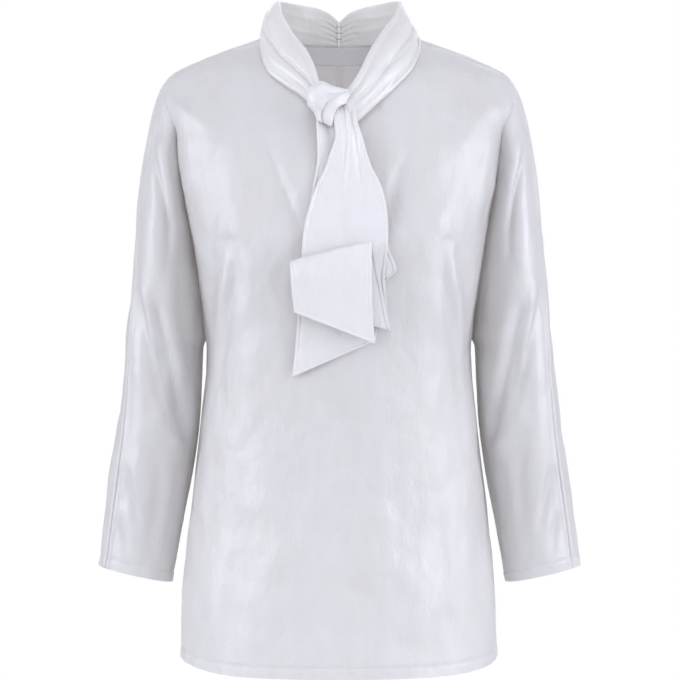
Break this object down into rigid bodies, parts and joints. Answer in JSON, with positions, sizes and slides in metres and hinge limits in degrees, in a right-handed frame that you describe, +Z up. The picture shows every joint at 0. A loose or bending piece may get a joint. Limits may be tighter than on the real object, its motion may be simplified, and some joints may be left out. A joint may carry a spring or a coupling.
{
  "type": "tie-neck blouse",
  "caption": "Hollow worn-shape blouse with dolman sleeves cut in one with the body and a scarf collar half-knotted in front.",
  "frame": {"origin": "on the centre line, midway between the shoulders beside the neck, where the wearer holds the garment up", "axes": "+Z up, the front faces -Y, +X is towards the wearer's left, which is on the right of the picture"},
  "size_m": [0.5278, 0.2759, 0.7325],
  "materials": {
    "satin": "satin weave, soft sheen",
    "label_satin": "smooth woven label, blank",
    "hook_metal": "plain wire"
  },
  "bodies": {
    "root": {"front": "satin", "back_left": "satin", "back_right": "satin", "collar_left": "satin", "collar_right": "satin", "knot": "satin", "tie_over": "satin", "tie_under": "satin", "label": "label_satin", "hook_1": "hook_metal", "hook_2": "hook_metal", "hook_3": "hook_metal"}
  },
  "joints": []
}
